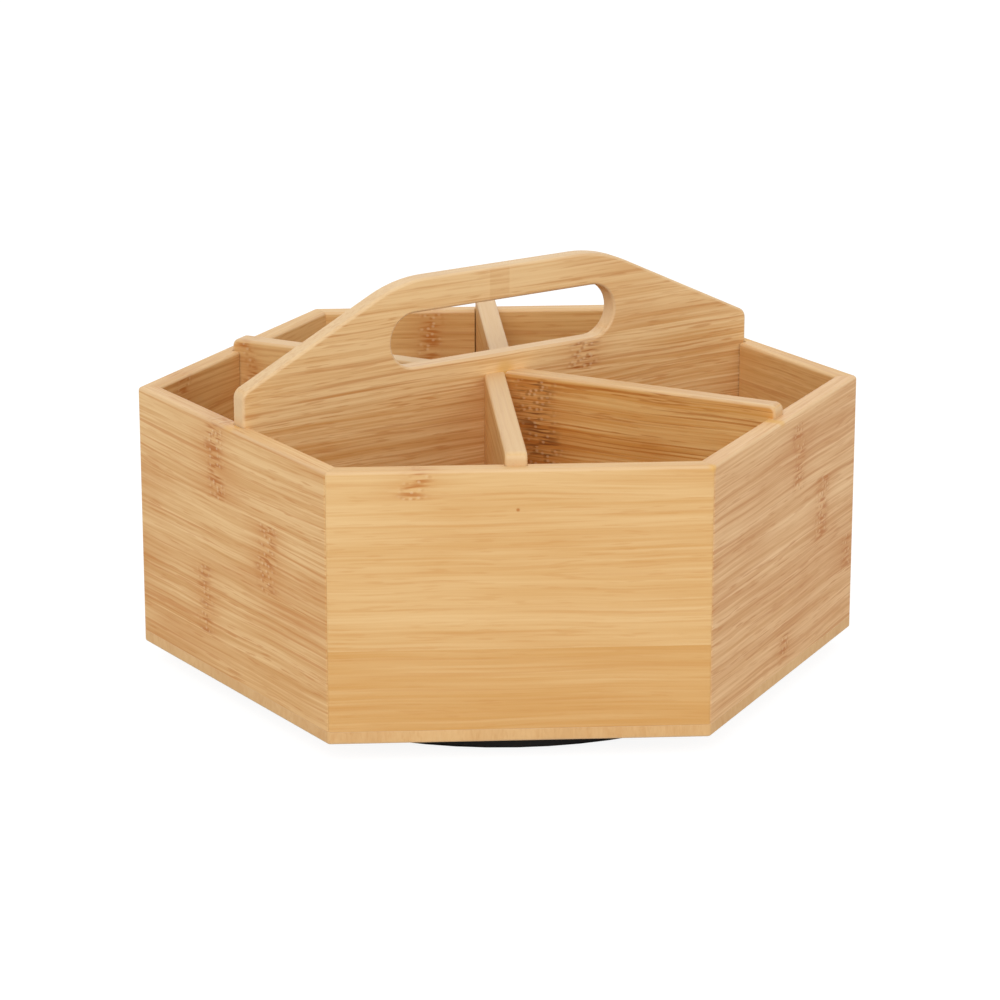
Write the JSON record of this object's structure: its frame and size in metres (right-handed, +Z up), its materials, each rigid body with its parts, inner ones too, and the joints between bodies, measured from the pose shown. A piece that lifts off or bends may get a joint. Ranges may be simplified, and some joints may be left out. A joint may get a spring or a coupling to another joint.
{
  "type": "rotating tea box",
  "caption": "Hexagonal bamboo tea caddy with dividers and a raised grip handle, turning freely on a low black ball-bearing turntable.",
  "frame": {"origin": "centre of the turning axis, on the plane that the six feet stand on", "axes": "+Z up along the turning axis; the handle panel runs along X; two corners of the hexagon point along Y"},
  "size_m": [0.2512, 0.2894, 0.1642],
  "materials": {
    "bamboo": "satin clear-coated bamboo strip board",
    "black_plastic": "fine-textured moulded",
    "nylon": "smooth natural nylon",
    "steel": "zinc plated or ground",
    "rubber": "matt"
  },
  "bodies": {
    "base": {"turntable_base": "black_plastic", "pivot_washer": "nylon", "foot_1": "rubber", "foot_2": "rubber", "foot_3": "rubber", "foot_4": "rubber", "foot_5": "rubber", "foot_6": "rubber"},
    "cage": {"ball_cage": "nylon", "ball_01": "steel", "ball_02": "steel", "ball_03": "steel", "ball_04": "steel", "ball_05": "steel", "ball_06": "steel", "ball_07": "steel", "ball_08": "steel", "ball_09": "steel", "ball_10": "steel", "ball_11": "steel", "ball_12": "steel", "ball_13": "steel", "ball_14": "steel", "ball_15": "steel", "ball_16": "steel", "ball_17": "steel", "ball_18": "steel"},
    "box": {"base_board": "bamboo", "wall_right": "bamboo", "wall_back_right": "bamboo", "wall_back_left": "bamboo", "wall_left": "bamboo", "wall_front_left": "bamboo", "wall_front_right": "bamboo", "handle_panel": "bamboo", "divider_low": "bamboo", "divider_low_far": "bamboo", "divider_high": "bamboo", "divider_high_far": "bamboo", "turntable_top": "black_plastic", "screw_1": "steel", "screw_2": "steel", "screw_3": "steel", "screw_4": "steel", "screw_5": "steel", "screw_6": "steel", "pivot_rivet": "steel"}
  },
  "joints": [
    {"name": "box_spin", "type": "hinge", "parent": "base", "child": "box", "pos_m": [0, 0, 0.005], "axis": [0, 0, 1], "continuous": true},
    {"name": "cage_spin", "type": "hinge", "parent": "base", "child": "cage", "pos_m": [0, 0, 0.005], "axis": [0, 0, 1], "continuous": true}
  ],
  "couplings": [
    {"joint": "cage_spin", "follows": "box_spin", "ratio": 0.5}
  ]
}
